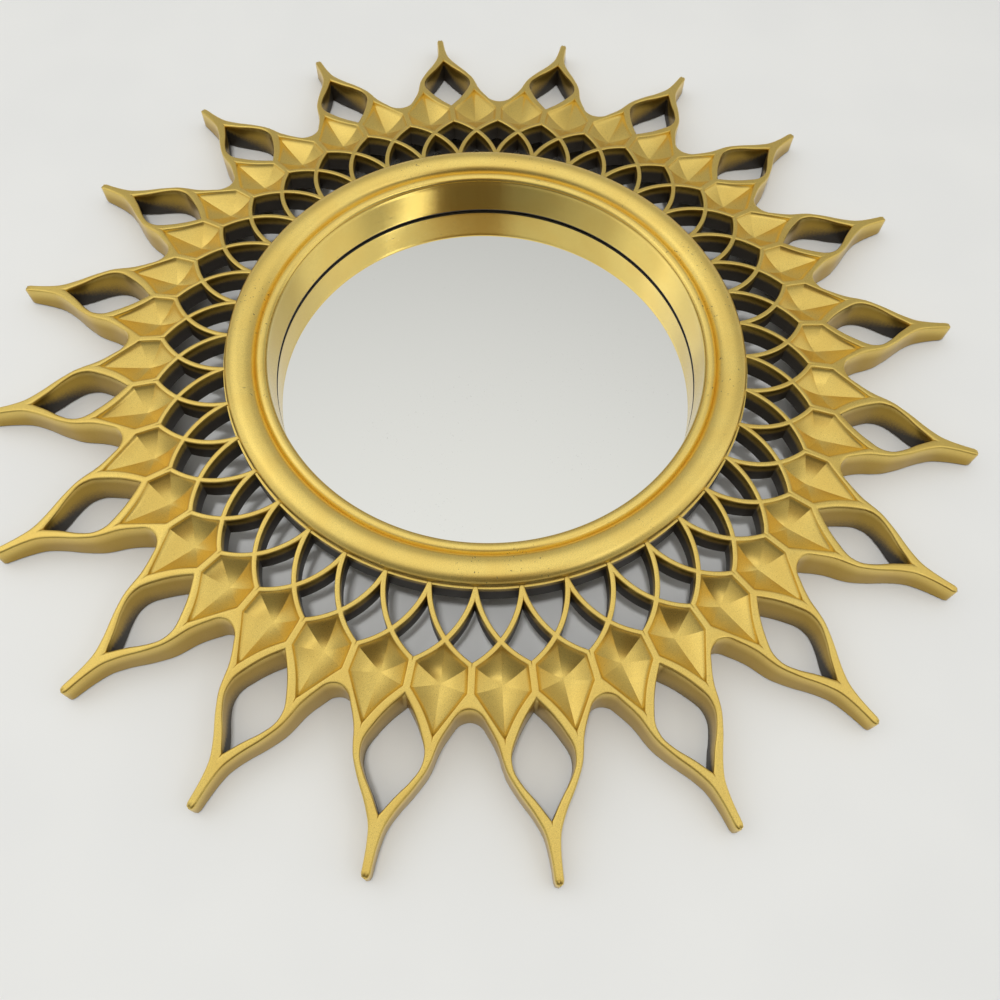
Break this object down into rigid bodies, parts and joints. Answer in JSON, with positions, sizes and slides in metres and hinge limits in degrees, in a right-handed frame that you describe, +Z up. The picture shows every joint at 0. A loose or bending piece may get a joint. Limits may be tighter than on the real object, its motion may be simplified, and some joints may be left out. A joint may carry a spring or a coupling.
{
  "type": "wall mirror",
  "caption": "Small round wall mirror in a moulded sunburst frame with an openwork lattice, sunk six-sided cells and open flame-shaped rays.",
  "frame": {"origin": "centre of the back, in the plane that lies against the wall", "axes": "+Z up the wall, -Y out of the front, +X to the right as seen from the front"},
  "size_m": [0.247, 0.0179, 0.247],
  "materials": {
    "satin_gold": "satin gold paint over black moulded plastic",
    "ring_gold": "smoother satin gold paint over black moulded plastic",
    "mirror_silver": "flat mirror glass",
    "black_plastic": "plain matte black"
  },
  "bodies": {
    "root": {"sunburst_frame": "satin_gold", "mirror_ring": "ring_gold", "mirror_disc": "mirror_silver", "back_cover": "black_plastic"}
  },
  "joints": []
}
